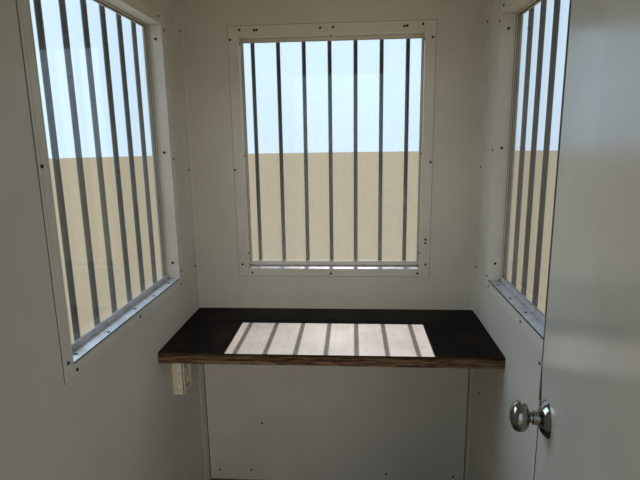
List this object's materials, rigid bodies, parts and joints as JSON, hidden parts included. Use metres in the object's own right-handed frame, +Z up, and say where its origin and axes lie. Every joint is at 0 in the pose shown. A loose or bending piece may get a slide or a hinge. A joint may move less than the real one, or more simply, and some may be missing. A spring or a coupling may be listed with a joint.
{
  "type": "portable office cabin",
  "caption": "Small portable office cabin with barred windows in the front and sides, a shelf desk, a socket box and an inward-opening door with round knobs, on a steel base.",
  "frame": {"origin": "on the ground, in the middle of the cabin's plan", "axes": "+X across the cabin to the right as seen from the door, +Y from the door to the desk window, +Z up"},
  "size_m": [1.31, 2.05, 2.348],
  "materials": {
    "wall_paint": "smooth white coil-coated steel, satin",
    "trim_paint": "white painted folded steel, satin",
    "frame_paint": "white painted section, satin",
    "glass": "clear, dusty and scratched",
    "sill_aluminium": "bare mill finish, scuffed",
    "bar_steel": "black painted round rod, weathered",
    "desk_ply": "dark stained plywood, worn satin",
    "batten_wood": "planed softwood",
    "deck": "plywood under grey sheet flooring",
    "socket_plastic": "cream moulded plastic",
    "door_paint": "light grey coated steel, half gloss",
    "chrome": "polished",
    "hinge_steel": "zinc plated",
    "base_steel": "dark grey painted channel",
    "roof_steel": "white coated steel sheet",
    "threshold_aluminium": "ribbed mill finish, walked on"
  },
  "bodies": {
    "cabin": {"base_frame": "base_steel", "fork_pockets": "base_steel", "floor_joists": "base_steel", "floor_deck": "deck", "front_wall": "wall_paint", "left_wall": "wall_paint", "right_wall": "wall_paint", "back_wall_left": "wall_paint", "back_wall_right": "wall_paint", "back_wall_over": "wall_paint", "roof_panel": "wall_paint", "door_frame": "trim_paint", "threshold": "threshold_aluminium", "roof_fascia": "roof_steel", "roof_sheet": "roof_steel", "corner_angle_front_left": "trim_paint", "corner_angle_front_right": "trim_paint", "corner_angle_back_left": "trim_paint", "corner_angle_back_right": "trim_paint", "corner_strips": "trim_paint", "desk_top": "desk_ply", "desk_battens": "batten_wood", "socket_box": "socket_plastic", "socket_face": "socket_plastic", "jamb_hinges": "hinge_steel", "front_window_trim": "trim_paint", "front_window_frame": "frame_paint", "front_window_pane": "glass", "front_sill_tray": "sill_aluminium", "front_window_bars": "bar_steel", "left_window_trim": "trim_paint", "left_window_frame": "frame_paint", "left_window_pane": "glass", "left_sill_tray": "sill_aluminium", "left_window_bars": "bar_steel", "right_window_trim": "trim_paint", "right_window_frame": "frame_paint", "right_window_pane": "glass", "right_sill_tray": "sill_aluminium", "right_window_bars": "bar_steel"},
    "door": {"door_leaf": "door_paint", "leaf_hinges": "hinge_steel", "knob_rosettes": "chrome", "latch_plate": "hinge_steel"},
    "knobs": {"knob_pair": "chrome"}
  },
  "joints": [
    {"name": "door_swing", "type": "hinge", "parent": "cabin", "child": "door", "pos_m": [0.344, -0.928, 1.138], "axis": [0, 0, 1], "range_deg": [-3, 99]},
    {"name": "knob_turn", "type": "hinge", "parent": "door", "child": "knobs", "pos_m": [0.42214, -0.26203, 1.187], "axis": [-0.9877, 0.1564, 0], "range_deg": [-50, 50], "stiffness_Nm_per_rad": 0.3}
  ]
}
